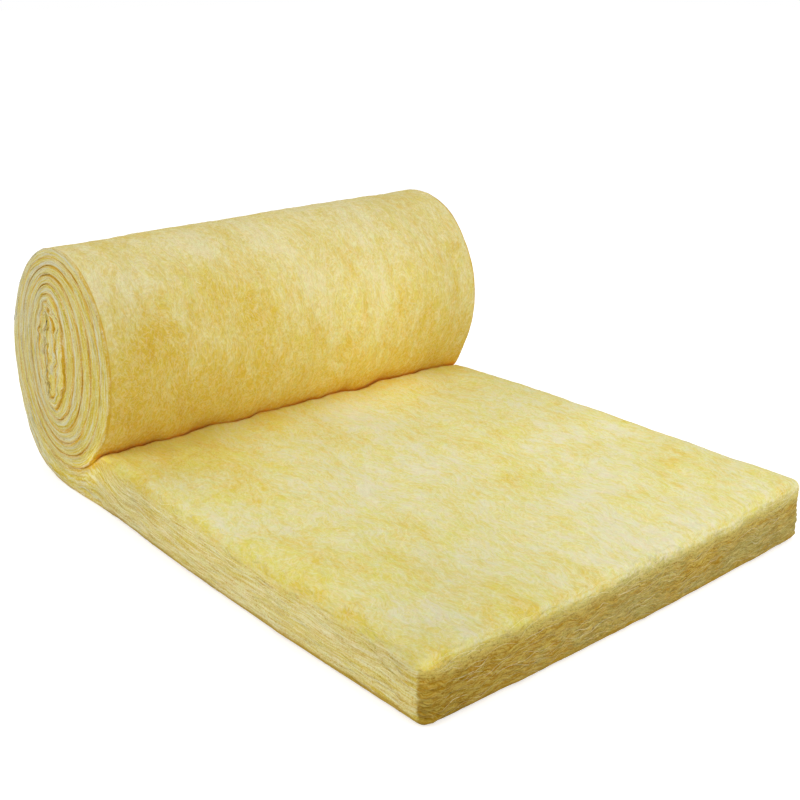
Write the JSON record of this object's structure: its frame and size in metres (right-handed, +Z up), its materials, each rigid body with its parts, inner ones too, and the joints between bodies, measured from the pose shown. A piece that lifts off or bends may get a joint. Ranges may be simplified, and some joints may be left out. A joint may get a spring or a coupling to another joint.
{
  "type": "glass wool insulation roll",
  "caption": "Thick soft blanket of glass wool, part wound into a roll and part unrolled flat on the floor, for insulating lofts, walls and roofs.",
  "frame": {"origin": "centre of the footprint, on the floor", "axes": "+X along the unrolled blanket, from the roll to the cut end; +Y along the roll's axis; +Z up"},
  "size_m": [1.6666, 1.2, 0.6502],
  "materials": {
    "glass_wool": "matt, fibrous and mottled, pale cream to golden yellow"
  },
  "bodies": {
    "root": {"glass_wool_blanket": "glass_wool"}
  },
  "joints": []
}
